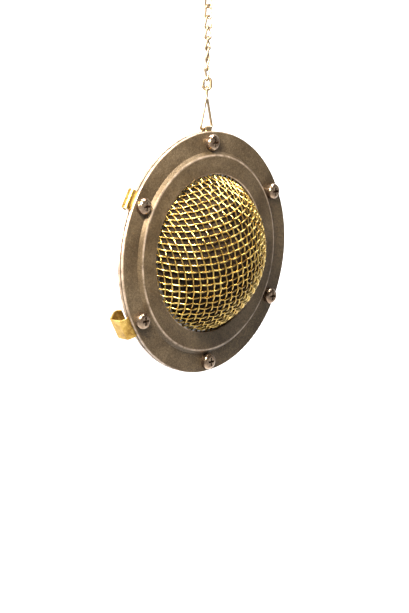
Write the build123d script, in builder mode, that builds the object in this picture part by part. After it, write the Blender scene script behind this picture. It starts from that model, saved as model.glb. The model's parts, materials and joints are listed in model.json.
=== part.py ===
from build123d import *
import os
from math import cos, sin, radians

os.makedirs("parts", exist_ok=True)

# The frame has its origin where the ceiling eye meets the ceiling, Z up, and the
# grille faces -Y. Everything hangs on the Z axis. Lengths are in mm.

# ---- driving dimensions ----
head_radius = 43.0
disc_z = -107.4                 # centre of the microphone head

# suspension
eye_wire = 2.0
eye_radius = 3.6                # centre line of the eye
collar_thickness = 1.6
collar_diameter = 7.0
neck_diameter = 2.4
shank_diameter = 4.0
shank_length = 12.0
ring_wire = 1.1
ring_radius = 3.0
link_wire = 0.8
link_half_width = 1.2
link_height = 4.4               # centre line, top wire to bottom wire
link_skew = 32.0                # half the angle between a link's two end wires
link_corner = 0.75
link_count = 9
first_link_yaw = -55.0
yaw_per_link = 15.0
link_gap = 0.03
ring_gap = 0.10
end_link_wire = 1.15
end_link_radius = 1.3
end_link_straight = 1.45
end_link_yaw = 132.0
end_link_rise = 57.40           # bottom wire of the end link above the head centre
bail_wire = 0.95
bail_half_width = 3.15
bail_leg_top = 55.6             # above the head centre
bar_rise = 43.64                # bottom bar of the hanger wire above the head centre
bail_eye_radius = 1.10

# rim of the head, depths counted back from the front face of the bezel flange
rim_front = -2.3
bezel_sheet = 0.9
strip_sheet = 0.6
flange_sheet = 0.9
opening_radius = 28.1
land_radius = 34.9
step_foot_radius = 36.1
land_rise = 1.3
screw_circle = 39.2
screw_count = 6
screw_diameter = 3.0
screw_clearance = 3.2
screw_length = 6.0
screw_head_diameter = 5.8
screw_head_height = 2.3
nut_across_flats = 5.5
nut_thickness = 2.4

# hooks and lug on the rim
long_hook_angle = 210
long_hook_width = 8.0
long_hook_reach = 45.5
long_hook_back = 9.3
long_hook_bend = 1.1
short_hook_angle = 150
short_hook_width = 7.0
short_hook_reach = 45.0
short_hook_back = 3.6
short_hook_bend = 1.05
hook_tongue_end = 35.9
lug_width = 2.8
lug_tongue_width = 6.4
lug_reach = 44.75
lug_back = 3.35

# grille
grille_apex = 17.2
grille_base_radius = 27.9
grille_sheet = 0.5
grille_flange_radius = 34.0
grille_flange = 0.5
liner_gap = 0.75
liner_thickness = 1.5
clamp_inner_radius = 25.2
clamp_outer_radius = 34.5

# back shell
shell_depth = 14.0
shell_mouth_radius = 31.0
shell_back_radius = 27.4
shell_sheet = 0.9

# capsule
capsule_radius = 17.0
capsule_front = -6.5
cup_front = -5.5
capsule_back = 2.5
cup_wall = 2.0
ring_screw_circle = 15.0
ring_screw_count = 8

# saddle, posts and circuit board
post_circle = 21.5
post_angles = (90, 210, 330)
saddle_screw_circle = 12.5
saddle_screw_angles = (30, 150, 270)
post_across_flats = 4.0
saddle_back = 3.7
board_front = 7.4
board_back = 9.0
board_radius = 25.0

# output socket, at the bottom of the back shell
socket_drop = -15.0
socket_radius = 4.8
socket_bore = 4.1
socket_inner_end = 6.0
socket_outer_end = 18.5
socket_flange_radius = 6.5
socket_pin_circle = 2.0
socket_pin_radius = 0.5

# ---- depths, heights and planes worked out from them ----
strip_front = bezel_sheet
strip_back = strip_front + strip_sheet
flange_back = strip_back + flange_sheet
land_front = -land_rise
land_back = land_front + bezel_sheet
shell_floor = shell_depth - shell_sheet
screw_angles = [90 + 60 * n for n in range(screw_count)]
hook_angles = (short_hook_angle, long_hook_angle)
ring_screw_angles = [360 / ring_screw_count * n for n in range(ring_screw_count)]

bar_z = disc_z + bar_rise
end_link_bottom = disc_z + end_link_rise
end_link_top = end_link_bottom + 2 * end_link_radius + end_link_straight
link_pitch = link_height - link_wire - link_gap
last_link_bottom = end_link_top - end_link_wire / 2 - link_wire / 2 - link_gap
last_link_z = last_link_bottom + link_height / 2
first_link_z = last_link_z + link_pitch * (link_count - 1)
first_link_top = first_link_z + link_height / 2
ring_bottom = first_link_top - link_wire / 2 - ring_wire / 2 - ring_gap
ring_top = ring_bottom + 2 * ring_radius
ring_z = ring_bottom + ring_radius
eye_bottom = ring_top - ring_wire / 2 - eye_wire / 2 - ring_gap
eye_z = eye_bottom + eye_radius

ring_yaw = first_link_yaw + link_skew + 90      # square to the first link's top wire

# profiles that turn about the head axis are drawn here: X is the radius, Y the depth
profile_plane = Plane(origin=(0, rim_front, disc_z), x_dir=(1, 0, 0), z_dir=(0, 0, 1))
head_axis = Axis((0, 0, disc_z), (0, 1, 0))


def facing(depth):
    """Plane across the head at a depth; local Y is up and extrusions run forward."""
    return Plane(origin=(0, rim_front + depth, disc_z), x_dir=(1, 0, 0), z_dir=(0, -1, 0))


def around(radius, angle):
    """Point on a circle about the head axis, in a facing plane."""
    return (radius * cos(radians(angle)), radius * sin(radians(angle)))


def radial_plane(angle):
    """Plane holding the head axis; local X points out, local Y points back."""
    across = (-sin(radians(angle)), 0, cos(radians(angle)))
    outward = (cos(radians(angle)), 0, sin(radians(angle)))
    return Plane(origin=(0, rim_front, disc_z), x_dir=outward, z_dir=across)


def turned(x, y, yaw):
    """Horizontal offset turned about the Z axis."""
    c = cos(radians(yaw))
    s = sin(radians(yaw))
    return (x * c - y * s, x * s + y * c)


def link_side(yaw, middle, side):
    """Centre-line corners of one side of a twisted chain link, top to bottom."""
    along, aside = around(link_half_width * side, link_skew)
    half = link_height / 2
    corners = []
    for x, y, z in ((0, 0, half), (along, aside, half), (along, -aside, -half), (0, 0, -half)):
        px, py = turned(x, y, yaw)
        corners.append((px, py, middle + z))
    return corners


# ---- ceiling eye: closed wire eye, neck, collar and screw shank ----
with BuildPart() as ceiling_eye:
    with BuildSketch(Plane(origin=(0, 0, eye_z), x_dir=(1, 0, 0), z_dir=(0, 0, 1))):
        with Locations((eye_radius, 0)):
            Circle(eye_wire / 2)
    revolve(axis=Axis((0, 0, eye_z), (0, 1, 0)))
    with BuildSketch(Plane.XY.offset(eye_z + eye_radius)):
        Circle(neck_diameter / 2)
    extrude(amount=-(eye_z + eye_radius))
    with BuildSketch(Plane.XY.offset(-collar_thickness)):
        Circle(collar_diameter / 2)
    extrude(amount=collar_thickness)
    with BuildSketch(Plane.XY):
        Circle(shank_diameter / 2)
    extrude(amount=shank_length)
    fillet(ceiling_eye.edges().filter_by(GeomType.CIRCLE).group_by(Axis.Z)[-1], 0.6)
ceiling_eye.part.label = "ceiling_eye"
export_step(ceiling_eye.part, "parts/ceiling_eye.step")

# ---- jump ring between the ceiling eye and the chain ----
ring_across = turned(1, 0, ring_yaw)
ring_facing = turned(0, 1, ring_yaw)
with BuildPart() as jump_ring:
    with BuildSketch(Plane(origin=(0, 0, ring_z), x_dir=(*ring_across, 0), z_dir=(0, 0, 1))):
        with Locations((ring_radius, 0)):
            Circle(ring_wire / 2)
    revolve(axis=Axis((0, 0, ring_z), (*ring_facing, 0)))
jump_ring.part.label = "jump_ring"
export_step(jump_ring.part, "parts/jump_ring.step")

# ---- chain links: each is turned a little more than the one above it ----
for number in range(link_count):
    yaw = first_link_yaw + yaw_per_link * number
    middle = first_link_z - link_pitch * number
    with BuildPart() as chain_link:
        for side in (1, -1):
            with BuildLine() as side_path:
                FilletPolyline(*link_side(yaw, middle, side), radius=link_corner)
            with BuildSketch(Plane(origin=side_path.wire() @ 0, z_dir=side_path.wire() % 0)):
                Circle(link_wire / 2)
            sweep(path=side_path.wire())
    chain_link.part.label = f"chain_link_{number + 1:02d}"
    export_step(chain_link.part, f"parts/chain_link_{number + 1:02d}.step")

# ---- plain oval end link ----
end_across = turned(1, 0, end_link_yaw)
end_facing = turned(0, -1, end_link_yaw)
end_link_middle = (end_link_bottom + end_link_top) / 2
with BuildPart() as end_link:
    with BuildLine(Plane(origin=(0, 0, end_link_middle), x_dir=(*end_across, 0),
                         z_dir=(*end_facing, 0))) as oval_path:
        half = end_link_straight / 2
        Line((end_link_radius, -half), (end_link_radius, half))
        JernArc((end_link_radius, half), (0, 1), end_link_radius, 180)
        Line((-end_link_radius, half), (-end_link_radius, -half))
        JernArc((-end_link_radius, -half), (0, -1), end_link_radius, 180)
    with BuildSketch(Plane(origin=(end_across[0] * end_link_radius,
                                   end_across[1] * end_link_radius,
                                   end_link_middle), z_dir=(0, 0, 1))):
        Circle(end_link_wire / 2)
    sweep(path=oval_path.wire())
end_link.part.label = "end_link"
export_step(end_link.part, "parts/end_link.step")

# ---- hanger wire: a bent triangle whose left leg ends in an eye over the end link ----
eye_side = turned(0, -1, end_link_yaw)
eye_x = eye_side[0] * bail_eye_radius
eye_y = eye_side[1] * bail_eye_radius
if eye_x > 0:
    eye_x = -eye_x
    eye_y = -eye_y
leg_top_z = disc_z + bail_leg_top
eye_top_z = end_link_bottom + bail_eye_radius
with BuildPart() as hanger_wire:
    with BuildLine() as hanger_path:
        FilletPolyline(
            (0.30, -0.05, disc_z + 54.1),
            (bail_half_width, 0, bar_z),
            (-bail_half_width, 0, bar_z),
            (eye_x, eye_y, leg_top_z),
            (eye_x, eye_y, eye_top_z),
            (-eye_x, -eye_y, eye_top_z),
            (-eye_x, -eye_y, end_link_bottom - 0.9),
            radius=bail_eye_radius - 0.02)
    with BuildSketch(Plane(origin=hanger_path.wire() @ 0, z_dir=hanger_path.wire() % 0)):
        Circle(bail_wire / 2)
    sweep(path=hanger_path.wire())
hanger_wire.part.label = "hanger_wire"
export_step(hanger_wire.part, "parts/hanger_wire.step")

# ---- front bezel: pressed ring with a raised land round the grille opening ----
with BuildPart() as front_bezel:
    with BuildSketch(profile_plane):
        with BuildLine():
            Polyline(
                (opening_radius, land_front),
                (land_radius, land_front),
                (step_foot_radius, 0),
                (head_radius, 0),
                (head_radius, bezel_sheet),
                (step_foot_radius - 0.45, bezel_sheet),
                (land_radius - 0.45, land_back),
                (opening_radius, land_back),
                close=True)
        make_face()
    revolve(axis=head_axis)
    with BuildSketch(facing(bezel_sheet)):
        with Locations(*[around(screw_circle, a) for a in screw_angles]):
            Circle(screw_clearance / 2)
    extrude(amount=2, mode=Mode.SUBTRACT)
    outer_edges = front_bezel.edges().filter_by(
        lambda e: e.geom_type == GeomType.CIRCLE and e.radius > land_radius - 0.01
        and abs(e.center().Y - rim_front) < 3)
    fillet(outer_edges.filter_by(lambda e: e.radius > head_radius - 0.1
                                 and e.center().Y < rim_front + 0.1), 0.4)
    fillet(front_bezel.edges().filter_by(
        lambda e: e.geom_type == GeomType.CIRCLE and abs(e.radius - land_radius) < 0.01), 0.5)
    fillet(front_bezel.edges().filter_by(
        lambda e: e.geom_type == GeomType.CIRCLE and abs(e.radius - opening_radius) < 0.01
        and e.center().Y < rim_front + land_front + 0.1), 0.4)
front_bezel.part.label = "front_bezel"
export_step(front_bezel.part, "parts/front_bezel.step")

# ---- grille: dome of woven wire cloth with a flat flange under the bezel land ----
dome_radius = (grille_base_radius ** 2 + (grille_apex + land_back) ** 2) / (
    2 * (grille_apex + land_back))
dome_centre = dome_radius - grille_apex


def dome_point(radius, out):
    """Point of a sphere about the dome centre, at a distance from the head axis."""
    return (out, dome_centre - (radius ** 2 - out ** 2) ** 0.5)


def dome_reach(radius, depth):
    """Distance from the head axis where a dome sphere meets a depth."""
    return (radius ** 2 - (dome_centre - depth) ** 2) ** 0.5


mesh_inside = dome_radius - grille_sheet
mesh_flange_back = land_back + grille_flange
mesh_inner_foot = dome_reach(mesh_inside, mesh_flange_back)
with BuildPart() as grille_mesh:
    with BuildSketch(profile_plane):
        with BuildLine():
            outer = ThreePointArc((0, -grille_apex), dome_point(dome_radius, 16),
                                  (grille_base_radius, land_back))
            Line(outer @ 1, (grille_flange_radius, land_back))
            Line((grille_flange_radius, land_back), (grille_flange_radius, mesh_flange_back))
            Line((grille_flange_radius, mesh_flange_back), (mesh_inner_foot, mesh_flange_back))
            inner = ThreePointArc((mesh_inner_foot, mesh_flange_back),
                                  dome_point(mesh_inside, 16),
                                  (0, -grille_apex + grille_sheet))
            Line(inner @ 1, (0, -grille_apex))
        make_face()
    revolve(axis=head_axis)
grille_mesh.part.label = "grille_mesh"
export_step(grille_mesh.part, "parts/grille_mesh.step")

# ---- dark open-cell foam liner inside the grille ----
liner_outside = mesh_inside - liner_gap
liner_inside = liner_outside - liner_thickness
liner_outer_foot = dome_reach(liner_outside, mesh_flange_back)
liner_inner_foot = dome_reach(liner_inside, mesh_flange_back)
with BuildPart() as foam_liner:
    with BuildSketch(profile_plane):
        with BuildLine():
            Line((0, dome_centre - liner_inside), (0, dome_centre - liner_outside))
            ThreePointArc((0, dome_centre - liner_outside), dome_point(liner_outside, 16),
                          (liner_outer_foot, mesh_flange_back))
            Line((liner_outer_foot, mesh_flange_back), (liner_inner_foot, mesh_flange_back))
            ThreePointArc((liner_inner_foot, mesh_flange_back), dome_point(liner_inside, 16),
                          (0, dome_centre - liner_inside))
        make_face()
    revolve(axis=head_axis)
foam_liner.part.label = "foam_liner"
export_step(foam_liner.part, "parts/foam_liner.step")

# ---- clamp ring: presses the mesh flange against the bezel land ----
with BuildPart() as mesh_clamp_ring:
    with BuildSketch(facing(strip_back)):
        Circle(clamp_outer_radius)
        Circle(clamp_inner_radius, mode=Mode.SUBTRACT)
    extrude(amount=strip_back - mesh_flange_back)
mesh_clamp_ring.part.label = "mesh_clamp_ring"
export_step(mesh_clamp_ring.part, "parts/mesh_clamp_ring.step")

# ---- fibre gasket between the two flanges, cut away for the hooks and the lug ----
with BuildPart() as rim_gasket:
    with BuildSketch(facing(strip_back)):
        Circle(head_radius - 1.0)
        Circle(land_radius + 0.1, mode=Mode.SUBTRACT)
        with Locations(*[around(screw_circle, a) for a in screw_angles]):
            Circle(screw_clearance / 2, mode=Mode.SUBTRACT)
        with PolarLocations(screw_circle, 2, start_angle=hook_angles[0],
                            angular_range=2 * (hook_angles[1] - hook_angles[0])):
            Rectangle(12, long_hook_width + 0.4, mode=Mode.SUBTRACT)
        with PolarLocations(screw_circle, 1, start_angle=90):
            Rectangle(12, lug_tongue_width + 0.4, mode=Mode.SUBTRACT)
    extrude(amount=strip_sheet)
rim_gasket.part.label = "rim_gasket"
export_step(rim_gasket.part, "parts/rim_gasket.step")

# ---- two brass hooks held under the left-hand screws: the lower one is a deep curl ----
middle_of_strip = (strip_front + strip_back) / 2
with BuildPart() as rim_hooks:
    with BuildSketch(radial_plane(short_hook_angle)):
        with BuildLine():
            FilletPolyline(
                (hook_tongue_end, middle_of_strip),
                (short_hook_reach, middle_of_strip),
                (short_hook_reach, short_hook_back),
                (42.6, short_hook_back),
                radius=short_hook_bend)
        trace(line_width=strip_sheet)
    extrude(amount=short_hook_width / 2, both=True)
    with BuildSketch(radial_plane(long_hook_angle)):
        with BuildLine():
            FilletPolyline(
                (hook_tongue_end, middle_of_strip),
                (43.7, middle_of_strip),
                (long_hook_reach, middle_of_strip + 1.6),
                (long_hook_reach, long_hook_back - 1.7),
                (40.9, long_hook_back),
                (40.2, long_hook_back - 2.5),
                radius=long_hook_bend)
        trace(line_width=strip_sheet)
    extrude(amount=long_hook_width / 2, both=True)
    with BuildSketch(facing(strip_back + 0.5)):
        with Locations(*[around(screw_circle, a) for a in hook_angles]):
            Circle(screw_clearance / 2)
    extrude(amount=strip_sheet + 1, mode=Mode.SUBTRACT)
rim_hooks.part.label = "rim_hooks"
export_step(rim_hooks.part, "parts/rim_hooks.step")

# ---- top lug: a tongue under the top screw and a narrow loop round the hanger wire's bar ----
with BuildPart() as top_lug:
    with BuildSketch(radial_plane(90)):
        with BuildLine():
            FilletPolyline(
                (36.0, middle_of_strip),
                (lug_reach - strip_sheet / 2, middle_of_strip),
                (lug_reach - strip_sheet / 2, lug_back),
                (42.75, lug_back),
                radius=0.9)
        trace(line_width=strip_sheet)
    extrude(amount=lug_width / 2, both=True)
    with BuildSketch(facing(strip_back)):
        with PolarLocations(screw_circle, 1, start_angle=90):
            Rectangle(6.4, lug_tongue_width)
    extrude(amount=strip_sheet)
    with BuildSketch(facing(strip_back + 0.5)):
        with Locations(around(screw_circle, 90)):
            Circle(screw_clearance / 2)
    extrude(amount=strip_sheet + 1, mode=Mode.SUBTRACT)
top_lug.part.label = "top_lug"
export_step(top_lug.part, "parts/top_lug.step")

# ---- back shell: flange and shallow pan in one spun piece ----
with BuildPart() as back_shell:
    with BuildSketch(profile_plane):
        with BuildLine():
            Polyline(
                (0, shell_depth),
                (shell_back_radius, shell_depth),
                (shell_mouth_radius, flange_back),
                (head_radius, flange_back),
                (head_radius, strip_back),
                (shell_mouth_radius - shell_sheet, strip_back),
                (shell_back_radius - shell_sheet, shell_floor),
                (0, shell_floor),
                close=True)
        make_face()
    revolve(axis=head_axis)
    fillet(back_shell.edges().filter_by(
        lambda e: e.geom_type == GeomType.CIRCLE
        and abs(e.radius - shell_back_radius) < 0.01), 3.0)
    fillet(back_shell.edges().filter_by(
        lambda e: e.geom_type == GeomType.CIRCLE
        and abs(e.radius - shell_back_radius + shell_sheet) < 0.01), 2.1)
    with BuildSketch(facing(shell_depth + 1)):
        with Locations(*[around(screw_circle, a) for a in screw_angles]):
            Circle(screw_clearance / 2)
        with Locations(*[around(post_circle, a) for a in post_angles]):
            Circle(1.35)
        with Locations((0, socket_drop)):
            Circle(socket_radius + 0.05)
    extrude(amount=shell_depth + 2, mode=Mode.SUBTRACT)
back_shell.part.label = "back_shell"
export_step(back_shell.part, "parts/back_shell.step")

# ---- six pan-head screws through the rim ----
with BuildPart() as bezel_screws:
    with BuildSketch(facing(0)):
        with Locations(*[around(screw_circle, a) for a in screw_angles]):
            Circle(screw_head_diameter / 2)
    extrude(amount=screw_head_height)
    fillet(bezel_screws.edges().group_by(Axis.Y)[0], 1.3)
    with BuildSketch(facing(screw_length)):
        with Locations(*[around(screw_circle, a) for a in screw_angles]):
            Circle(screw_diameter / 2)
    extrude(amount=screw_length)
    with BuildSketch(facing(-screw_head_height + 1.2)):
        with Locations(*[around(screw_circle, a) for a in screw_angles]):
            Rectangle(3.0, 0.75)
            Rectangle(0.75, 3.0)
    extrude(amount=2, mode=Mode.SUBTRACT)
bezel_screws.part.label = "bezel_screws"
export_step(bezel_screws.part, "parts/bezel_screws.step")

# ---- six hexagon nuts behind the rim ----
with BuildPart() as rim_nuts:
    with BuildSketch(facing(flange_back + nut_thickness)):
        with Locations(*[around(screw_circle, a) for a in screw_angles]):
            RegularPolygon(nut_across_flats / 2, 6, major_radius=False)
            Circle(screw_diameter / 2 + 0.02, mode=Mode.SUBTRACT)
    extrude(amount=nut_thickness)
rim_nuts.part.label = "rim_nuts"
export_step(rim_nuts.part, "parts/rim_nuts.step")

# ---- capsule cup ----
with BuildPart() as capsule_cup:
    with BuildSketch(facing(capsule_back)):
        Circle(capsule_radius)
    extrude(amount=capsule_back - cup_front)
    with BuildSketch(facing(capsule_back - 1.5)):
        Circle(capsule_radius - cup_wall - 1.4)
    extrude(amount=capsule_back - 1.5 - cup_front, mode=Mode.SUBTRACT)
    with BuildSketch(facing(-1.0)):
        Circle(capsule_radius - cup_wall - 0.4)
    extrude(amount=-1.0 - cup_front, mode=Mode.SUBTRACT)
    with BuildSketch(facing(capsule_back + 1)):
        with PolarLocations(9.0, 6):
            Circle(1.1)
        Circle(1.6)
    extrude(amount=4, mode=Mode.SUBTRACT)
    with BuildSketch(facing(cup_front + 3.0)):
        with Locations(*[around(ring_screw_circle + 0.9, a) for a in ring_screw_angles]):
            Circle(0.45)
    extrude(amount=4, mode=Mode.SUBTRACT)
    with BuildSketch(facing(capsule_back)):
        with Locations(*[around(saddle_screw_circle, a) for a in saddle_screw_angles]):
            Circle(0.85)
    extrude(amount=1.5, mode=Mode.SUBTRACT)
capsule_cup.part.label = "capsule_cup"
export_step(capsule_cup.part, "parts/capsule_cup.step")

# ---- insulator seated on the step inside the cup ----
with BuildPart() as capsule_insulator:
    with BuildSketch(facing(-1.0)):
        Circle(capsule_radius - cup_wall - 0.45)
        Circle(1.6, mode=Mode.SUBTRACT)
        with PolarLocations(9.0, 6):
            Circle(1.1, mode=Mode.SUBTRACT)
    extrude(amount=1.6)
    with BuildSketch(facing(-2.6)):
        Circle(capsule_radius - cup_wall - 0.45)
        Circle(13.05, mode=Mode.SUBTRACT)
    extrude(amount=2.6)
capsule_insulator.part.label = "capsule_insulator"
export_step(capsule_insulator.part, "parts/capsule_insulator.step")

# ---- backplate with three rings of holes, and its terminal ----
with BuildPart() as backplate:
    with BuildSketch(facing(-2.6)):
        Circle(13.0)
        for ring_radius_hole, hole_count in ((3.5, 6), (7.0, 12), (10.5, 18)):
            with PolarLocations(ring_radius_hole, hole_count):
                Circle(0.5, mode=Mode.SUBTRACT)
    extrude(amount=2.5)
backplate.part.label = "capsule_backplate"
export_step(backplate.part, "parts/capsule_backplate.step")

# ---- terminal screw through the cup floor into the backplate ----
with BuildPart() as terminal:
    with BuildSketch(facing(1.6)):
        Circle(0.9)
    extrude(amount=4.2)
    with BuildSketch(facing(1.8)):
        Circle(1.45)
    extrude(amount=0.75)
terminal.part.label = "backplate_terminal"
export_step(terminal.part, "parts/backplate_terminal.step")

# ---- spacer, metal-coated film and the ring that stretches it ----
with BuildPart() as film_spacer:
    with BuildSketch(facing(-5.2)):
        Circle(capsule_radius - cup_wall - 0.45)
        Circle(13.3, mode=Mode.SUBTRACT)
    extrude(amount=0.3)
film_spacer.part.label = "film_spacer"
export_step(film_spacer.part, "parts/film_spacer.step")

with BuildPart() as diaphragm:
    with BuildSketch(facing(cup_front)):
        Circle(capsule_radius - 0.2)
        with Locations(*[around(ring_screw_circle + 0.9, a) for a in ring_screw_angles]):
            Circle(0.5, mode=Mode.SUBTRACT)
    extrude(amount=0.1)
diaphragm.part.label = "diaphragm"
export_step(diaphragm.part, "parts/diaphragm.step")

with BuildPart() as film_ring:
    with BuildSketch(facing(cup_front - 0.1)):
        Circle(capsule_radius)
        Circle(14.0, mode=Mode.SUBTRACT)
        with Locations(*[around(ring_screw_circle + 0.9, a) for a in ring_screw_angles]):
            Circle(0.5, mode=Mode.SUBTRACT)
    extrude(amount=0.9)
film_ring.part.label = "diaphragm_ring"
export_step(film_ring.part, "parts/diaphragm_ring.step")

with BuildPart() as ring_screws:
    with BuildSketch(facing(capsule_front)):
        with Locations(*[around(ring_screw_circle + 0.9, a) for a in ring_screw_angles]):
            Circle(0.85)
    extrude(amount=0.6)
    with BuildSketch(facing(cup_front + 2.2)):
        with Locations(*[around(ring_screw_circle + 0.9, a) for a in ring_screw_angles]):
            Circle(0.4)
    extrude(amount=cup_front + 2.2 - capsule_front)
    with BuildSketch(facing(capsule_front - 0.3)):
        with Locations(*[around(ring_screw_circle + 0.9, a) for a in ring_screw_angles]):
            Rectangle(1.8, 0.28)
    extrude(amount=0.4, mode=Mode.SUBTRACT)
ring_screws.part.label = "ring_screws"
export_step(ring_screws.part, "parts/ring_screws.step")

# ---- saddle plate that carries the capsule ----
with BuildPart() as capsule_saddle:
    with BuildSketch(facing(saddle_back)):
        Circle(16.0)
        for angle in post_angles:
            with Locations(around(post_circle / 2 + 2, angle)):
                Rectangle(post_circle - 2, 9.0, rotation=angle)
            with Locations(around(post_circle, angle)):
                Circle(4.5)
        Circle(7.0, mode=Mode.SUBTRACT)
        with Locations(*[around(saddle_screw_circle, a) for a in saddle_screw_angles]):
            Circle(0.95, mode=Mode.SUBTRACT)
        with Locations(*[around(post_circle, a) for a in post_angles]):
            Circle(2.6, mode=Mode.SUBTRACT)
    extrude(amount=saddle_back - capsule_back)
capsule_saddle.part.label = "capsule_saddle"
export_step(capsule_saddle.part, "parts/capsule_saddle.step")

with BuildPart() as capsule_screws:
    with BuildSketch(facing(saddle_back + 1.0)):
        with Locations(*[around(saddle_screw_circle, a) for a in saddle_screw_angles]):
            Circle(1.5)
    extrude(amount=1.0)
    with BuildSketch(facing(saddle_back)):
        with Locations(*[around(saddle_screw_circle, a) for a in saddle_screw_angles]):
            Circle(0.8)
    extrude(amount=saddle_back - capsule_back + 1.4)
    with BuildSketch(facing(saddle_back + 1.5)):
        with Locations(*[around(saddle_screw_circle, a) for a in saddle_screw_angles]):
            Rectangle(3.2, 0.4)
    extrude(amount=0.9, mode=Mode.SUBTRACT)
capsule_screws.part.label = "capsule_screws"
export_step(capsule_screws.part, "parts/capsule_screws.step")

# ---- rubber grommets in the saddle ----
grommet_front = capsule_back - 0.6
grommet_back = saddle_back + 0.6
with BuildPart() as grommets:
    with BuildSketch(facing(grommet_back)):
        with Locations(*[around(post_circle, a) for a in post_angles]):
            Circle(3.6)
    extrude(amount=0.6)
    with BuildSketch(facing(saddle_back)):
        with Locations(*[around(post_circle, a) for a in post_angles]):
            Circle(2.55)
    extrude(amount=saddle_back - capsule_back)
    with BuildSketch(facing(capsule_back)):
        with Locations(*[around(post_circle, a) for a in post_angles]):
            Circle(3.6)
    extrude(amount=0.6)
    with BuildSketch(facing(grommet_back + 1)):
        with Locations(*[around(post_circle, a) for a in post_angles]):
            Circle(1.3)
    extrude(amount=5, mode=Mode.SUBTRACT)
grommets.part.label = "rubber_grommets"
export_step(grommets.part, "parts/rubber_grommets.step")

# ---- hexagon posts either side of the board ----
with BuildPart() as upper_posts:
    with BuildSketch(facing(board_front)):
        with Locations(*[around(post_circle, a) for a in post_angles]):
            RegularPolygon(post_across_flats / 2, 6, major_radius=False)
            Circle(1.15, mode=Mode.SUBTRACT)
    extrude(amount=board_front - grommet_back)
upper_posts.part.label = "upper_posts"
export_step(upper_posts.part, "parts/upper_posts.step")

with BuildPart() as lower_posts:
    with BuildSketch(facing(shell_floor)):
        with Locations(*[around(post_circle, a) for a in post_angles]):
            RegularPolygon(post_across_flats / 2, 6, major_radius=False)
            Circle(1.15, mode=Mode.SUBTRACT)
    extrude(amount=shell_floor - board_back)
lower_posts.part.label = "lower_posts"
export_step(lower_posts.part, "parts/lower_posts.step")

# ---- screws: front ones hold the grommets, rear ones come in through the shell ----
with BuildPart() as grommet_screws:
    with BuildSketch(facing(grommet_front)):
        with Locations(*[around(post_circle, a) for a in post_angles]):
            Circle(2.2)
    extrude(amount=1.3)
    fillet(grommet_screws.edges().group_by(Axis.Y)[0], 0.7)
    with BuildSketch(facing(board_front - 0.2)):
        with Locations(*[around(post_circle, a) for a in post_angles]):
            Circle(1.1)
    extrude(amount=board_front - 0.2 - grommet_front)
    with BuildSketch(facing(grommet_front - 0.7)):
        with Locations(*[around(post_circle, a) for a in post_angles]):
            Rectangle(2.2, 0.5)
            Rectangle(0.5, 2.2)
    extrude(amount=1.0, mode=Mode.SUBTRACT)
grommet_screws.part.label = "grommet_screws"
export_step(grommet_screws.part, "parts/grommet_screws.step")

with BuildPart() as rear_screws:
    with BuildSketch(facing(shell_depth + 1.3)):
        with Locations(*[around(post_circle, a) for a in post_angles]):
            Circle(2.2)
    extrude(amount=1.3)
    fillet(rear_screws.edges().group_by(Axis.Y)[-1], 0.7)
    with BuildSketch(facing(shell_depth)):
        with Locations(*[around(post_circle, a) for a in post_angles]):
            Circle(1.1)
    extrude(amount=shell_depth - board_front - 0.2)
    with BuildSketch(facing(shell_depth + 1.6)):
        with Locations(*[around(post_circle, a) for a in post_angles]):
            Rectangle(2.2, 0.5)
            Rectangle(0.5, 2.2)
    extrude(amount=1.0, mode=Mode.SUBTRACT)
rear_screws.part.label = "rear_screws"
export_step(rear_screws.part, "parts/rear_screws.step")

# ---- circuit board, cut round the socket ----
with BuildPart() as circuit_board:
    with BuildSketch(facing(board_back)):
        Circle(board_radius)
        with Locations((0, socket_drop)):
            Circle(7.0, mode=Mode.SUBTRACT)
        with Locations((0, socket_drop - 6)):
            Rectangle(14.0, 12.0, mode=Mode.SUBTRACT)
        with Locations(*[around(post_circle, a) for a in post_angles]):
            Circle(1.3, mode=Mode.SUBTRACT)
    extrude(amount=board_back - board_front)
circuit_board.part.label = "circuit_board"
export_step(circuit_board.part, "parts/circuit_board.step")

# ---- components: transistor can, resistors, film capacitor and electrolytic ----
with BuildPart() as transistor:
    with BuildSketch(facing(board_front)):
        with Locations((0, 3.8)):
            Circle(2.7)
    extrude(amount=0.5)
    with BuildSketch(facing(board_front)):
        with Locations((0, 3.8)):
            Circle(2.35)
    extrude(amount=3.8)
    fillet(transistor.edges().group_by(Axis.Y)[0], 0.4)
transistor.part.label = "transistor"
export_step(transistor.part, "parts/transistor.step")

resistor_places = ((-10.5, 6.0), (10.5, 6.0), (10.5, -4.0))
lead_lift = 1.25
with BuildPart() as resistors:
    for x, z in resistor_places:
        low = disc_z + z - 4.0
        high = disc_z + z + 4.0
        board_y = rim_front + board_front
        with BuildLine() as lead_path:
            FilletPolyline((x, board_y, low), (x, board_y - lead_lift, low),
                           (x, board_y - lead_lift, high), (x, board_y, high), radius=0.6)
        with BuildSketch(Plane(origin=(x, board_y, low), z_dir=(0, -1, 0))):
            Circle(0.25)
        sweep(path=lead_path.wire())
        with BuildSketch(Plane(origin=(x, board_y - lead_lift, disc_z + z - 2.3),
                               z_dir=(0, 0, 1))):
            Circle(1.0)
        extrude(amount=4.6)
resistors.part.label = "resistors"
export_step(resistors.part, "parts/resistors.step")

with BuildPart() as film_capacitor:
    with BuildSketch(facing(board_back + 3.4)):
        with Locations((-9.5, 5.5)):
            Rectangle(5.0, 7.2)
    extrude(amount=3.4)
    fillet(film_capacitor.edges().filter_by(Axis.Y), 0.5)
film_capacitor.part.label = "film_capacitor"
export_step(film_capacitor.part, "parts/film_capacitor.step")

with BuildPart() as electrolytic:
    with BuildSketch(facing(board_back + 3.7)):
        with Locations((9.5, 6.0)):
            Circle(3.1)
    extrude(amount=3.7)
    fillet(electrolytic.edges().group_by(Axis.Y)[-1], 0.4)
electrolytic.part.label = "electrolytic_capacitor"
export_step(electrolytic.part, "parts/electrolytic_capacitor.step")

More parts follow.
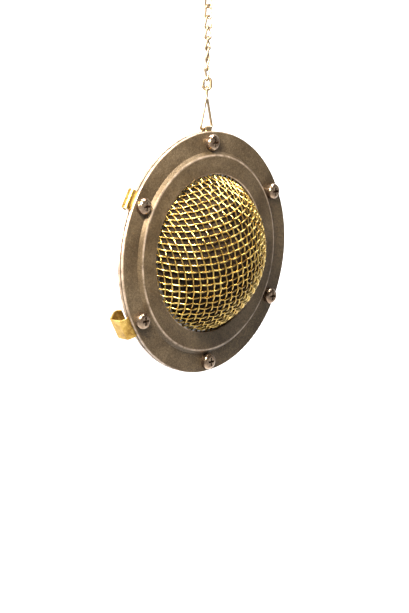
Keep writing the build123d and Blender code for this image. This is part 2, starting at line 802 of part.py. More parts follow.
# ---- leads from the capsule to the board ----
lead_radius = 0.45
capsule_lead_runs = (
    ((0, 1.8, 0), (0, 4.6, 0), (0, 4.6, -3.6), (0, board_front, -3.6)),
    ((-5.0, capsule_back, -2.0), (-5.0, 4.8, -2.0), (-5.0, 4.8, -5.2),
     (-5.0, board_front, -5.2)),
)
with BuildPart() as capsule_leads:
    for run in capsule_lead_runs:
        points = [(x, rim_front + y, disc_z + z) for x, y, z in run]
        with BuildLine() as run_path:
            FilletPolyline(*points, radius=1.0)
        with BuildSketch(Plane(origin=points[0], z_dir=(0, 1, 0))):
            Circle(lead_radius)
        sweep(path=run_path.wire())
capsule_leads.part.label = "capsule_leads"
export_step(capsule_leads.part, "parts/capsule_leads.step")

# ---- three-pin output socket: shell, insert, pins, lock nut and its leads ----
socket_pin_places = [
    (socket_pin_circle * cos(radians(a)), socket_drop + socket_pin_circle * sin(radians(a)))
    for a in (90, 210, 330)]
with BuildPart() as socket_shell:
    with BuildSketch(facing(socket_outer_end)):
        with Locations((0, socket_drop)):
            Circle(socket_radius)
    extrude(amount=socket_outer_end - socket_inner_end)
    with BuildSketch(facing(shell_depth + 1.2)):
        with Locations((0, socket_drop)):
            Circle(socket_flange_radius)
    extrude(amount=1.2)
    with BuildSketch(facing(socket_outer_end + 1)):
        with Locations((0, socket_drop)):
            Circle(socket_bore)
    extrude(amount=socket_outer_end - socket_inner_end + 2, mode=Mode.SUBTRACT)
    fillet(socket_shell.edges().group_by(Axis.Y)[-1], 0.25)
socket_shell.part.label = "socket_shell"
export_step(socket_shell.part, "parts/socket_shell.step")

with BuildPart() as socket_insert:
    with BuildSketch(facing(12.0)):
        with Locations((0, socket_drop)):
            Circle(socket_bore - 0.02)
        with Locations(*socket_pin_places):
            Circle(socket_pin_radius + 0.02, mode=Mode.SUBTRACT)
    extrude(amount=4.0)
socket_insert.part.label = "socket_insert"
export_step(socket_insert.part, "parts/socket_insert.step")

with BuildPart() as socket_pins:
    with BuildSketch(facing(16.8)):
        with Locations(*socket_pin_places):
            Circle(socket_pin_radius)
    extrude(amount=16.8 - 6.6)
    fillet(socket_pins.edges().group_by(Axis.Y)[-1], 0.25)
socket_pins.part.label = "socket_pins"
export_step(socket_pins.part, "parts/socket_pins.step")

with BuildPart() as socket_nut:
    with BuildSketch(facing(shell_floor)):
        with Locations((0, socket_drop)):
            RegularPolygon(6.25, 6, major_radius=False)
            Circle(socket_radius + 0.02, mode=Mode.SUBTRACT)
    extrude(amount=1.6)
socket_nut.part.label = "socket_nut"
export_step(socket_nut.part, "parts/socket_nut.step")

with BuildPart() as output_leads:
    for x, z in socket_pin_places:
        end_z = -6.2 if abs(x) < 0.1 else -5.2
        points = [(x, rim_front + 6.6, disc_z + z), (x, rim_front + 5.4, disc_z + z),
                  (x, rim_front + 5.4, disc_z + end_z), (x, rim_front + board_front, disc_z + end_z)]
        with BuildLine() as wire_path:
            FilletPolyline(*points, radius=0.6)
        with BuildSketch(Plane(origin=points[0], z_dir=(0, -1, 0))):
            Circle(0.4)
        sweep(path=wire_path.wire())
output_leads.part.label = "output_leads"
export_step(output_leads.part, "parts/output_leads.step")
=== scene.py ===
import json
import math

import bmesh
import bpy
import mathutils
import numpy as np
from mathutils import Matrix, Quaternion, Vector


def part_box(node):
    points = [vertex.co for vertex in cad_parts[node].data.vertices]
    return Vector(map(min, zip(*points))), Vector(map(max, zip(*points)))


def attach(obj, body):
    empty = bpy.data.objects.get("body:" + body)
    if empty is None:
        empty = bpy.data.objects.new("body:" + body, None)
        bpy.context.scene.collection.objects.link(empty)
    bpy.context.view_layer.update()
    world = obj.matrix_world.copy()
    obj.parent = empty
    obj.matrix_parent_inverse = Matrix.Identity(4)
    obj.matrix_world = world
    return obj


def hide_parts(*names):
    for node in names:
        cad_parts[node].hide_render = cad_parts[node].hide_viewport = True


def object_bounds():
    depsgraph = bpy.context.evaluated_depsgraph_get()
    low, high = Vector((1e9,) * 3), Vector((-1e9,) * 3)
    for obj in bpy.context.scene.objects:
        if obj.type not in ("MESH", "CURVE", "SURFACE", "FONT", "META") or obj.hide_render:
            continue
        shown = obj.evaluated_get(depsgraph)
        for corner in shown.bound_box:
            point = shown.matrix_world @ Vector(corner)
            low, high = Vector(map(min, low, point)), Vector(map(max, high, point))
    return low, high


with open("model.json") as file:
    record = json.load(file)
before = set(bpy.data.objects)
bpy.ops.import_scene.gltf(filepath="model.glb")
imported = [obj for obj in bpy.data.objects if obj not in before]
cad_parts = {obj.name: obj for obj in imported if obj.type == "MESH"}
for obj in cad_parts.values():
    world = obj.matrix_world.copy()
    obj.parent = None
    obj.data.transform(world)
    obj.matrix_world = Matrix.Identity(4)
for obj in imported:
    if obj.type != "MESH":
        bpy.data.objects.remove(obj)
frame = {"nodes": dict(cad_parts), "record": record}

cad_low, cad_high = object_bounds()
MM = 0.001
HEAD = "head"

# ---------------------------------------------------------------- dimensions
# The object, in the CAD frame. The grille faces -Y.
bezel_low, bezel_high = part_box("front_bezel")
foam_low, foam_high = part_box("foam_liner")
mesh_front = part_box("grille_mesh")[0].y
centre_x = (bezel_low.x + bezel_high.x) / 2
centre_z = (bezel_low.z + bezel_high.z) / 2
bezel_sheet = 0.9 * MM
rim_front = bezel_high.y - bezel_sheet
land_back = rim_front - 0.4 * MM        # back face of the raised land

# Radii of worn edges, in mm, for the materials; the bright rings drawn there are partly wear and
# partly painted highlight.
rim_edge = 42.95
land_edge = 34.7
opening_edge = 28.3
shell_edge = 31.3
chain_above = centre_z + 42.9 * MM      # brass is paler from here up

# Woven wire cloth. The net starts at one point of the dome and is turned to the photo's weave.
wire_radius = 0.275 * MM
pitch = 2.48 * MM
dome_base = 27.9 * MM
flange_reach = 32.8 * MM
flange_slope = 0.95                     # reach gained per length of cloth on the flange
flange_bend = 1.2 * MM
weave_lift = wire_radius * 0.96
net_turn = 0.266
net_yaw = 0.045
net_dip = 0.342
net_count = 20
points_per_cell = 4
shortest_run = 6                        # points; shorter pieces of wire are left out
wire_sides = 8
tiny = 1e-9

# Foam dome
foam_thickness = 1.45 * MM
foam_rings = 44
foam_sides = 120
foam_edge_roll = 0.022                  # angle by which the outer edge is rounded in
foam_roll_start = 0.97
foam_tip_inset = 0.15 * MM
lump_outside = 0.12 * MM
lump_inside = 0.10 * MM
lump_level = 1.6

# Studio. The floor lies well below the hanging head and curves up into a wall.
view_heading = math.radians(48.30)
view_dip = math.radians(11.12)
view_roll = math.radians(1.07)
camera_offset = Vector((-0.3932, -0.3488, 0.0840))
camera_lens = 88.1
camera_sensor = 36.0
head_centre = Vector((centre_x, rim_front, centre_z))
toward_camera = Vector((-0.733, -0.653, 0.193))
camera_right = Vector((0.668, -0.744, 0.0))
floor_z = cad_low.z - 0.50
floor_near = -6.0
floor_far = 1.1
floor_half_width = 6.0
curve_radius = 0.7
curve_steps = 12
wall_top = 3.0


# ---------------------------------------------------------------- material helpers
def tree(name):
    """New material with a principled shader: material, its nodes, its links, the shader."""
    material = bpy.data.materials.new(name)
    material.use_nodes = True
    nodes = material.node_tree.nodes
    links = material.node_tree.links
    nodes.clear()
    output = nodes.new("ShaderNodeOutputMaterial")
    shader = nodes.new("ShaderNodeBsdfPrincipled")
    links.new(shader.outputs[0], output.inputs[0])
    return material, nodes, links, shader


def place(nodes):
    return nodes.new("ShaderNodeTexCoord").outputs["Object"]


def noise(nodes, links, source, size_mm, detail=4.0, rough=0.55, distortion=0.0):
    """Noise whose features are about size_mm across."""
    node = nodes.new("ShaderNodeTexNoise")
    node.inputs["Scale"].default_value = 1000.0 / size_mm
    node.inputs["Detail"].default_value = detail
    node.inputs["Roughness"].default_value = rough
    node.inputs["Distortion"].default_value = distortion
    links.new(source, node.inputs["Vector"])
    return node.outputs["Fac"]


def ramp(nodes, links, source, stops):
    """Colour ramp; stops are (position, colour)."""
    node = nodes.new("ShaderNodeValToRGB")
    elements = node.color_ramp.elements
    while len(elements) < len(stops):
        elements.new(0.5)
    for element, (position, colour) in zip(elements, stops):
        element.position = position
        element.color = (*colour, 1.0)
    links.new(source, node.inputs["Fac"])
    return node.outputs["Color"]


def grey_ramp(nodes, links, source, stops):
    """Ramp of plain values; stops are (position, value)."""
    return ramp(nodes, links, source, [(p, (v, v, v)) for p, v in stops])


def mix(nodes, links, factor, a, b, mode="MIX"):
    """Mix two colours; each argument is a socket, a number or a colour."""
    node = nodes.new("ShaderNodeMix")
    node.data_type = "RGBA"
    node.blend_type = mode
    for value, socket in ((factor, node.inputs["Factor"]), (a, node.inputs["A"]),
                          (b, node.inputs["B"])):
        if hasattr(value, "links"):
            links.new(value, socket)
        elif isinstance(value, (int, float)):
            socket.default_value = value
        else:
            socket.default_value = (*value, 1.0)
    return node.outputs["Result"]


def maths(nodes, links, operation, *values):
    """Math node; each value is a socket or a number."""
    node = nodes.new("ShaderNodeMath")
    node.operation = operation
    for index, value in enumerate(values):
        if hasattr(value, "links"):
            links.new(value, node.inputs[index])
        else:
            node.inputs[index].default_value = value
    return node.outputs[0]


def spread(nodes, links, source, low, high, to_low, to_high):
    """Stretch a field from low..high to to_low..to_high."""
    node = nodes.new("ShaderNodeMapRange")
    node.inputs["From Min"].default_value = low
    node.inputs["From Max"].default_value = high
    node.inputs["To Min"].default_value = to_low
    node.inputs["To Max"].default_value = to_high
    links.new(source, node.inputs["Value"])
    return node.outputs[0]


def add_bump(nodes, links, shader, height, strength, distance_mm):
    node = nodes.new("ShaderNodeBump")
    node.inputs["Strength"].default_value = strength
    node.inputs["Distance"].default_value = distance_mm * MM
    links.new(height, node.inputs["Height"])
    links.new(node.outputs[0], shader.inputs["Normal"])


def split_xyz(nodes, links, source):
    node = nodes.new("ShaderNodeSeparateXYZ")
    links.new(source, node.inputs[0])
    return node.outputs


def radius_from_axis(nodes, links, source):
    """Distance from the head axis, in mm."""
    parts = split_xyz(nodes, links, source)
    dx = maths(nodes, links, "SUBTRACT", parts["X"], centre_x)
    dz = maths(nodes, links, "SUBTRACT", parts["Z"], centre_z)
    square = maths(nodes, links, "ADD", maths(nodes, links, "MULTIPLY", dx, dx),
                   maths(nodes, links, "MULTIPLY", dz, dz))
    return maths(nodes, links, "MULTIPLY", maths(nodes, links, "SQRT", square), 1000.0)


def paler_brass(nodes, links, source, colour, shade, patches, above):
    """Fade colour into a pale, dull brass over two thirds of a millimetre from height above."""
    height = split_xyz(nodes, links, source)["Z"]
    rise = maths(nodes, links, "MULTIPLY",
                 maths(nodes, links, "SUBTRACT", height, above), 1500.0)
    share = maths(nodes, links, "MINIMUM", maths(nodes, links, "MAXIMUM", rise, 0.0), 1.0)
    pale = mix(nodes, links, 1.0, (0.30, 0.24, 0.165), shade, "MULTIPLY")
    pale = mix(nodes, links, maths(nodes, links, "MULTIPLY", patches, 0.7), pale,
               (0.12, 0.072, 0.042))
    return mix(nodes, links, maths(nodes, links, "MULTIPLY", share, 0.9), colour, pale)


def surface(name, colours, metallic=0.0, roughness=(0.35, 0.55), patch_mm=9.0, grain_mm=0.6,
            bump_mm=0.02, speck=None, speck_mm=0.35, specular=0.5, stretch=None, pale_above=None):
    """Aged surface: patches of two or three colours, fine grain, specks, bump and roughness."""
    material, nodes, links, shader = tree(name)
    source = place(nodes)
    if stretch:
        mapping = nodes.new("ShaderNodeMapping")
        mapping.inputs["Scale"].default_value = stretch
        links.new(source, mapping.inputs["Vector"])
        source = mapping.outputs[0]
    patches = noise(nodes, links, source, patch_mm, 5.0, 0.6, 0.4)
    last = len(colours) - 1
    stops = [(0.34 + 0.32 * index / last, colour) for index, colour in enumerate(colours)]
    colour = ramp(nodes, links, patches, stops)
    grain = noise(nodes, links, source, grain_mm, 3.0, 0.6)
    shade = grey_ramp(nodes, links, grain, [(0.30, 0.80), (0.70, 1.12)])
    colour = mix(nodes, links, 1.0, colour, shade, "MULTIPLY")
    if speck:
        dots = noise(nodes, links, source, speck_mm, 1.0, 0.5)
        mask = grey_ramp(nodes, links, dots, [(0.66, 0.0), (0.72, 1.0)])
        colour = mix(nodes, links, mask, colour, speck)
    if pale_above is not None:
        colour = paler_brass(nodes, links, source, colour, shade, patches, pale_above)
    links.new(colour, shader.inputs["Base Color"])
    shader.inputs["Metallic"].default_value = metallic
    shader.inputs["Specular IOR Level"].default_value = specular
    field = maths(nodes, links, "ADD", maths(nodes, links, "MULTIPLY", patches, 0.6),
                  maths(nodes, links, "MULTIPLY", grain, 0.4))
    links.new(spread(nodes, links, field, 0.36, 0.64, *roughness), shader.inputs["Roughness"])
    add_bump(nodes, links, shader, grain, 0.6, bump_mm)
    return material


def bezel_surface(name, rings):
    """Aged plating: warm brown-grey, bright near rings, which are (radius, width) in mm; the
    bright rings are partly wear and partly painted highlight.
    """
    material, nodes, links, shader = tree(name)
    source = place(nodes)
    patches = noise(nodes, links, source, 14.0, 5.0, 0.62, 0.5)
    colour = ramp(nodes, links, patches, [(0.32, (0.050, 0.033, 0.017)),
                                          (0.50, (0.072, 0.050, 0.028)),
                                          (0.68, (0.098, 0.071, 0.043))])
    grain = noise(nodes, links, source, 0.42, 3.0, 0.65)
    shade = grey_ramp(nodes, links, grain, [(0.32, 0.50), (0.68, 1.42)])
    colour = mix(nodes, links, 1.0, colour, shade, "MULTIPLY")
    dots = noise(nodes, links, source, 0.30, 1.0, 0.5)
    bright = grey_ramp(nodes, links, dots, [(0.67, 0.0), (0.74, 0.8)])
    colour = mix(nodes, links, bright, colour, (0.20, 0.15, 0.095))
    distance = radius_from_axis(nodes, links, source)
    scatter = noise(nodes, links, source, 3.0, 4.0, 0.7)
    wear_and_highlight = None
    for ring, width in rings:
        gap = maths(nodes, links, "ABSOLUTE", maths(nodes, links, "SUBTRACT", distance, ring))
        near = maths(nodes, links, "SUBTRACT", 1.0, maths(nodes, links, "DIVIDE", gap, width))
        near = maths(nodes, links, "MAXIMUM", near, 0.0)
        wear_and_highlight = near if wear_and_highlight is None else maths(nodes, links, "MAXIMUM", wear_and_highlight, near)
    wear_and_highlight = maths(nodes, links, "MULTIPLY", wear_and_highlight,
                 grey_ramp(nodes, links, scatter, [(0.35, 0.15), (0.62, 0.85)]))
    # Bright ring colour at the rim, step, opening and shell edges: partly wear, partly painted
    # highlight.
    colour = mix(nodes, links, wear_and_highlight, colour, (0.42, 0.33, 0.26))
    links.new(colour, shader.inputs["Base Color"])
    shader.inputs["Metallic"].default_value = 0.55
    shader.inputs["Specular IOR Level"].default_value = 0.3
    rough = maths(nodes, links, "SUBTRACT",
                  spread(nodes, links, patches, 0.35, 0.65, 0.42, 0.58),
                  maths(nodes, links, "MULTIPLY", wear_and_highlight, 0.15))
    links.new(rough, shader.inputs["Roughness"])
    add_bump(nodes, links, shader, grain, 0.55, 0.06)
    return material


# ---------------------------------------------------------------- one look for each slot
looks = {
    "aged_nickel": bezel_surface("aged_nickel", ((land_edge, 0.50), (rim_edge, 0.40),
                                                 (opening_edge, 0.25))),
    "plated_shell": bezel_surface("plated_shell", ((rim_edge, 0.50), (shell_edge, 0.40))),
    "bare_aluminium": surface("bare_aluminium", [(0.50, 0.49, 0.47), (0.62, 0.61, 0.60)], 0.9,
                              (0.30, 0.45), 8.0, 0.3, 0.015, stretch=(1, 1, 4)),
    "golden_brass": surface("golden_brass", [(0.22, 0.125, 0.028), (0.38, 0.235, 0.055),
                                             (0.50, 0.34, 0.10)], 0.92, (0.24, 0.40), 3.0, 0.35,
                            0.02, (0.26, 0.155, 0.05), 0.5, pale_above=chain_above),
    "brass_cloth": surface("brass_cloth", [(0.24, 0.145, 0.038), (0.42, 0.28, 0.075),
                                           (0.57, 0.42, 0.14)], 0.95, (0.20, 0.34), 5.0, 0.30,
                           0.015, (0.22, 0.13, 0.045), 0.5),
    "nickel_brass": surface("nickel_brass", [(0.58, 0.52, 0.42), (0.70, 0.63, 0.52)], 0.92,
                            (0.20, 0.36), 6.0, 0.3, 0.012, (0.40, 0.34, 0.26), 0.4),
    "screw_nickel": surface("screw_nickel", [(0.15, 0.10, 0.068), (0.26, 0.185, 0.13),
                                             (0.36, 0.28, 0.205)], 0.95, (0.16, 0.30), 2.2, 0.30,
                            0.015, (0.10, 0.065, 0.04), 0.4),
    "zinc_steel": surface("zinc_steel", [(0.44, 0.44, 0.42), (0.62, 0.62, 0.60)], 0.9,
                          (0.30, 0.48), 3.0, 0.3, 0.02, (0.36, 0.30, 0.22), 0.4),
    "dark_foam": surface("dark_foam", [(0.004, 0.003, 0.002), (0.012, 0.008, 0.005),
                                       (0.024, 0.016, 0.010)], 0.0, (0.85, 0.98), 12.0, 0.5,
                         0.25, specular=0.08),
    "red_fibre": surface("red_fibre", [(0.09, 0.04, 0.03), (0.17, 0.085, 0.065)], 0.0,
                         (0.7, 0.9), 4.0, 0.3, 0.03),
    "clear_acrylic": surface("clear_acrylic", [(0.66, 0.66, 0.62), (0.76, 0.76, 0.73)], 0.0,
                             (0.12, 0.25), 6.0, 0.5, 0.01),
    "gold_film": surface("gold_film", [(0.72, 0.52, 0.20), (0.85, 0.67, 0.32)], 0.95,
                         (0.12, 0.24), 10.0, 0.8, 0.01),
    "black_rubber": surface("black_rubber", [(0.022, 0.022, 0.022), (0.05, 0.05, 0.048)], 0.0,
                            (0.7, 0.9), 3.0, 0.25, 0.03),
    "board_laminate": surface("board_laminate", [(0.045, 0.16, 0.075), (0.075, 0.22, 0.11)],
                              0.0, (0.28, 0.42), 7.0, 0.5, 0.01, (0.30, 0.34, 0.20), 0.5),
    "resistor_body": surface("resistor_body", [(0.48, 0.36, 0.23), (0.62, 0.50, 0.36)], 0.0,
                             (0.25, 0.4), 2.0, 0.3, 0.01),
    "film_body": surface("film_body", [(0.40, 0.05, 0.035), (0.52, 0.08, 0.05)], 0.0,
                         (0.2, 0.32), 3.0, 0.4, 0.01),
    "can_sleeve": surface("can_sleeve", [(0.035, 0.04, 0.075), (0.06, 0.07, 0.12)], 0.0,
                          (0.2, 0.34), 3.0, 0.4, 0.01),
    "transistor_can": surface("transistor_can", [(0.55, 0.53, 0.49), (0.68, 0.66, 0.62)], 0.92,
                              (0.22, 0.36), 3.0, 0.3, 0.01),
    "lead_sleeve": surface("lead_sleeve", [(0.38, 0.06, 0.045), (0.52, 0.10, 0.07)], 0.0,
                           (0.4, 0.55), 3.0, 0.4, 0.01),
    "black_plastic": surface("black_plastic", [(0.02, 0.02, 0.02), (0.045, 0.045, 0.043)], 0.0,
                             (0.35, 0.55), 4.0, 0.4, 0.015),
}

slot_of = {row["node"]: row["material_slot"] for row in frame["record"]["subparts"]}
for node_name, node_object in frame["nodes"].items():
    node_object.data.materials.clear()
    node_object.data.materials.append(looks[slot_of[node_name]])


# ---------------------------------------------------------------- mesh helpers
def smooth_object(name, bm, material):
    """Turn bm into a smooth-shaded object with one material."""
    mesh = bpy.data.meshes.new(name)
    bm.to_mesh(mesh)
    bm.free()
    for polygon in mesh.polygons:
        polygon.use_smooth = True
    thing = bpy.data.objects.new(name, mesh)
    bpy.context.scene.collection.objects.link(thing)
    mesh.materials.append(material)
    return thing


def finished(name, bm, material, body=HEAD):
    """Object from bm that rides on body."""
    bmesh.ops.recalc_face_normals(bm, faces=bm.faces)
    thing = smooth_object(name, bm, material)
    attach(thing, body)
    return thing


def unit(vector):
    return vector / np.linalg.norm(vector)


def tube(bm, points, radius):
    """Closed tube along points, with flat ends."""
    count = len(points)
    tangents = [unit(points[min(k + 1, count - 1)] - points[max(k - 1, 0)])
                for k in range(count)]
    reference = np.array([0.0, 1.0, 0.0])
    if abs(np.dot(reference, tangents[0])) > 0.9:
        reference = np.array([1.0, 0.0, 0.0])
    side = unit(np.cross(tangents[0], reference))
    rings = []
    for point, tangent in zip(points, tangents):
        side = unit(side - tangent * np.dot(side, tangent))
        other = np.cross(tangent, side)
        ring = []
        for n in range(wire_sides):
            turn = 2 * math.pi * n / wire_sides
            ring.append(bm.verts.new(point + radius * (side * math.cos(turn)
                                                       + other * math.sin(turn))))
        rings.append(ring)
    for ring, following in zip(rings, rings[1:]):
        for n in range(wire_sides):
            m = (n + 1) % wire_sides
            bm.faces.new((ring[n], ring[m], following[m], following[n]))
    bm.faces.new(list(reversed(rings[0])))
    bm.faces.new(rings[-1])


# ---------------------------------------------------------------- woven wire cloth
# A flat cloth pressed into a dome keeps its wires' length between crossings, and its cells
# shear. So each new crossing on the sphere is the mirror image of the one across its cell.
apex_rise = land_back - mesh_front
shell_radius = (dome_base ** 2 + apex_rise ** 2) / (2 * apex_rise)
sphere_y = mesh_front + shell_radius
cloth_radius = shell_radius - 2 * wire_radius
flange_y = land_back + 2.0 * wire_radius
foot_angle = math.acos((sphere_y - flange_y) / cloth_radius)
foot_reach = cloth_radius * math.sin(foot_angle)
edge_angle = foot_angle + (flange_reach - foot_reach) / cloth_radius / flange_slope


def net_crossings():
    """Directions from the dome's centre to the cloth's crossings, by column and row."""
    step = pitch / cloth_radius
    front = unit(np.array([math.sin(net_yaw), -math.cos(net_yaw) * math.cos(net_dip),
                           -math.sin(net_dip)]))
    along = np.array([math.cos(net_turn), 0.0, math.sin(net_turn)])
    along = unit(along - front * np.dot(along, front))
    upward = np.array([-math.sin(net_turn), 0.0, math.cos(net_turn)])
    upward = unit(upward - front * np.dot(upward, front))
    crossings = {}
    for sign_i in (1, -1):
        for sign_j in (1, -1):
            for i in range(net_count + 1):
                ahead = front * math.cos(i * step)
                crossings[i * sign_i, 0] = ahead + along * sign_i * math.sin(i * step)
                crossings[0, i * sign_j] = ahead + upward * sign_j * math.sin(i * step)
            for i in range(net_count):
                for j in range(net_count):
                    corner = crossings[i * sign_i, j * sign_j]
                    beside = crossings[(i + 1) * sign_i, j * sign_j]
                    above = crossings[i * sign_i, (j + 1) * sign_j]
                    normal = np.cross(beside, above)
                    size = np.linalg.norm(normal)
                    if size < tiny:
                        crossings[(i + 1) * sign_i, (j + 1) * sign_j] = corner
                        continue
                    normal = normal / size
                    crossings[(i + 1) * sign_i, (j + 1) * sign_j] = (
                        corner - 2 * np.dot(corner, normal) * normal)
    return crossings


def on_cloth(direction, lift):
    """Point of the cloth for a direction from the dome's centre, raised by lift, and its angle."""
    angle = math.acos(max(-1.0, min(1.0, -direction[1])))
    flat = np.array([direction[0], direction[2]])
    size = np.linalg.norm(flat)
    flat = flat / size if size > tiny else np.array([1.0, 0.0])
    if angle <= foot_angle:
        reach = (cloth_radius + lift) * math.sin(angle)
        y = sphere_y - (cloth_radius + lift) * math.cos(angle)
    else:
        over = (angle - foot_angle) * cloth_radius
        bend = min(1.0, over / flange_bend)
        reach = foot_reach + over * flange_slope + lift * math.sin(foot_angle) * (1 - bend)
        y = flange_y - lift * (math.cos(foot_angle) * (1 - bend) + bend)
    return np.array([centre_x + reach * flat[0], y, centre_z + reach * flat[1]]), angle


def smooth(points):
    """Catmull-Rom curve through directions, as (place along the points, direction)."""
    result = []
    for k in range(len(points) - 1):
        p0 = points[max(k - 1, 0)]
        p1 = points[k]
        p2 = points[k + 1]
        p3 = points[min(k + 2, len(points) - 1)]
        for s in range(points_per_cell):
            t = s / points_per_cell
            value = 0.5 * ((2 * p1) + (p2 - p0) * t + (2 * p0 - 5 * p1 + 4 * p2 - p3) * t * t
                           + (3 * p1 - p0 - 3 * p2 + p3) * t ** 3)
            result.append((k + t, unit(value)))
    result.append((len(points) - 1, points[-1]))
    return result


def woven_wire(line, row, side):
    """Longest run inside the cloth's edge of a wire that passes over and under its neighbours."""
    runs = [[]]
    for where, direction in smooth(line):
        phase = math.cos(math.pi * (where - net_count + row))
        point, angle = on_cloth(direction, weave_lift * phase * side)
        if angle <= edge_angle:
            runs[-1].append(point)
        elif runs[-1]:
            runs.append([])
    return max(runs, key=len)


def make_cloth():
    crossings = net_crossings()
    cloth = bmesh.new()
    span = range(-net_count, net_count + 1)
    for side in (1, -1):
        for row in span:
            line = [crossings[(k, row) if side == 1 else (row, k)] for k in span]
            run = woven_wire(line, row, side)
            if len(run) > shortest_run:
                tube(cloth, run, wire_radius)
    return finished("woven_wire_cloth", cloth, looks["brass_cloth"])


woven_cloth = make_cloth()
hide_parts("grille_mesh")

# ---------------------------------------------------------------- foam windscreen dome
foam_base = (foam_high.x - foam_low.x) / 2
foam_rise = foam_high.y - foam_low.y
foam_radius = (foam_base ** 2 + foam_rise ** 2) / (2 * foam_rise)
foam_sphere_y = foam_low.y + foam_radius
foam_edge = math.acos((foam_sphere_y - foam_high.y) / foam_radius)


def foam_ring(foam, angle, inner):
    """Ring of lumpy points at an angle from the dome's tip, on the inner or the outer face."""
    ring = []
    for n in range(foam_sides):
        turn = 2 * math.pi * n / foam_sides
        spot = Vector((math.cos(turn) * math.sin(angle), -math.cos(angle),
                       math.sin(turn) * math.sin(angle)))
        lump = mathutils.noise.noise(spot * 9.0) + 0.6 * mathutils.noise.noise(spot * 31.0)
        if inner:
            radius = foam_radius - foam_thickness + lump_inside * lump
        else:
            radius = foam_radius - lump_outside * (lump_level + lump)
        ring.append(foam.verts.new((centre_x + radius * spot.x, foam_sphere_y + radius * spot.y,
                                    centre_z + radius * spot.z)))
    return ring


def foam_face(foam, inner):
    """One face of the dome, from the tip to the edge; its last ring is returned."""
    rings = []
    for k in range(1, foam_rings + 1):
        share = k / foam_rings
        roll = foam_edge_roll * max(0.0, share - foam_roll_start) / (1 - foam_roll_start)
        rings.append(foam_ring(foam, foam_edge * share - (0.0 if inner else roll), inner))
    tip_radius = foam_radius - foam_tip_inset - (foam_thickness if inner else 0.0)
    tip = foam.verts.new((centre_x, foam_sphere_y - tip_radius, centre_z))
    for n in range(foam_sides):
        foam.faces.new((tip, rings[0][n], rings[0][(n + 1) % foam_sides]))
    for ring, following in zip(rings, rings[1:]):
        for n in range(foam_sides):
            m = (n + 1) % foam_sides
            foam.faces.new((ring[n], following[n], following[m], ring[m]))
    return rings[-1]


def make_foam():
    foam = bmesh.new()
    outer_edge = foam_face(foam, False)
    inner_edge = foam_face(foam, True)
    for n in range(foam_sides):
        m = (n + 1) % foam_sides
        foam.faces.new((outer_edge[n], outer_edge[m], inner_edge[m], inner_edge[n]))
    return finished("foam_dome", foam, looks["dark_foam"])


foam_dome = make_foam()
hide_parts("foam_liner")


# ---------------------------------------------------------------- floor and backdrop
def backdrop_material():
    material, nodes, links, shader = tree("studio_paper")
    tone = noise(nodes, links, place(nodes), 120.0, 3.0, 0.5)
    links.new(ramp(nodes, links, tone, [(0.35, (0.90, 0.895, 0.885)),
                                        (0.65, (0.93, 0.925, 0.915))]),
              shader.inputs["Base Color"])
    shader.inputs["Roughness"].default_value = 0.95
    return material


def make_floor():
    """Paper sheet that runs away from the camera and curves up behind the object."""
    profile = [(floor_near, 0.0), (floor_far, 0.0)]
    for n in range(1, curve_steps + 1):
        turn = math.pi / 2 * n / curve_steps
        profile.append((floor_far + curve_radius * math.sin(turn),
                        curve_radius - curve_radius * math.cos(turn)))
    profile.append((floor_far + curve_radius, wall_top))
    paper = bmesh.new()
    rows = []
    for depth, height in profile:
        pair = []
        for across in (-floor_half_width, floor_half_width):
            x = depth * math.sin(view_heading) + across * math.cos(view_heading)
            y = depth * math.cos(view_heading) - across * math.sin(view_heading)
            pair.append(paper.verts.new((x, y, floor_z + height)))
        rows.append(pair)
    for row, following in zip(rows, rows[1:]):
        paper.faces.new((row[0], row[1], following[1], following[0]))
    return smooth_object("studio_floor", paper, backdrop_material())


studio_floor = make_floor()


# ---------------------------------------------------------------- light
def make_world():
    """Soft grey room: lightest at the horizon, darker overhead for contrast in the metal."""
    world = bpy.data.worlds.new("studio")
    world.use_nodes = True
    bpy.context.scene.world = world
    nodes = world.node_tree.nodes
    links = world.node_tree.links
    sky = nodes.new("ShaderNodeTexCoord").outputs["Generated"]
    height = split_xyz(nodes, links, sky)["Z"]
    tones = ramp(nodes, links, height, [(0.0, (0.52, 0.515, 0.51)),
                                        (0.12, (0.26, 0.255, 0.25)),
                                        (0.35, (0.07, 0.065, 0.06))])
    background = nodes["Background"]
    links.new(tones, background.inputs["Color"])
    background.inputs["Strength"].default_value = 1.0


def add_lamp(name, light, direction):
    """Place a lamp that the camera doesn't see, shining along direction."""
    lamp = bpy.data.objects.new(name, light)
    bpy.context.scene.collection.objects.link(lamp)
    lamp.visible_camera = False
    lamp.rotation_mode = "QUATERNION"
    lamp.rotation_quaternion = direction.to_track_quat("-Z", "Y")
    return lamp


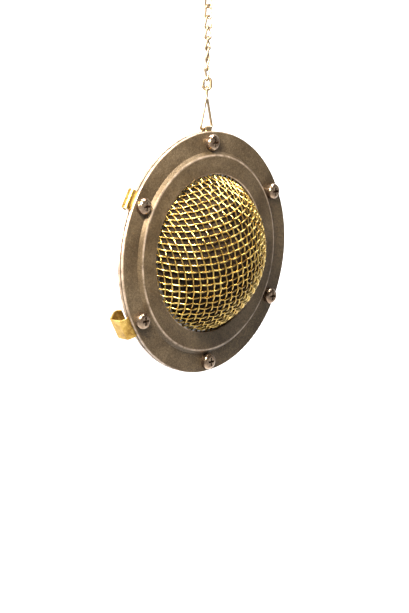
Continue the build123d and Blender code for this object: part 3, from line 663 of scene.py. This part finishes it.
def area_light(name, offset, size, power, colour, aim=Vector((0, 0, 0))):
    """Round soft light; offset and aim are measured from the head's centre."""
    light = bpy.data.lights.new(name, "AREA")
    light.shape = "DISK"
    light.size = size
    light.energy = power
    light.color = colour
    add_lamp(name, light, aim - offset).location = head_centre + offset


def sun_light(name, power, spread_degrees, direction):
    light = bpy.data.lights.new(name, "SUN")
    light.energy = power
    light.angle = math.radians(spread_degrees)
    add_lamp(name, light, direction)


make_world()
area_light("key_left", toward_camera * 0.150 + camera_right * -0.045 + Vector((0, 0, 0.098)),
           0.07, 2.8, (1.0, 0.93, 0.80))
area_light("rim_left", camera_right * -0.34 + toward_camera * 0.04 + Vector((0, 0, 0.08)), 0.14,
           3.2, (1.0, 0.94, 0.92))
area_light("top_right", camera_right * 0.14 + toward_camera * 0.08 + Vector((0, 0, 0.26)), 0.07,
           0.8, (1.0, 0.95, 0.86))
area_light("wash_floor", Vector((0, 0, 1.7)), 1.2, 9.0, (1.0, 1.0, 1.0))
area_light("wash_back", toward_camera * -0.5 + Vector((0, 0, 1.1)), 1.0, 55.0,
           (1.0, 1.0, 1.0), toward_camera * -1.6 + Vector((0, 0, -0.35)))
sun_light("overhead", 1.7, 40, Vector((-0.05, -0.15, -1.0)))


# ---------------------------------------------------------------- camera
def make_camera():
    camera_data = bpy.data.cameras.new("camera")
    camera_data.sensor_width = camera_sensor
    camera_data.lens = camera_lens
    camera_data.clip_start = 0.01
    camera_data.clip_end = 20.0
    camera = bpy.data.objects.new("camera", camera_data)
    bpy.context.scene.collection.objects.link(camera)
    camera.location = head_centre + camera_offset
    forward = Vector((math.sin(view_heading) * math.cos(view_dip),
                      math.cos(view_heading) * math.cos(view_dip), -math.sin(view_dip)))
    camera.rotation_mode = "QUATERNION"
    camera.rotation_quaternion = (forward.to_track_quat("-Z", "Y")
                                  @ Quaternion((0, 0, 1), view_roll))
    return camera


bpy.context.scene.camera = make_camera()
bpy.context.scene.view_settings.view_transform = "Standard"
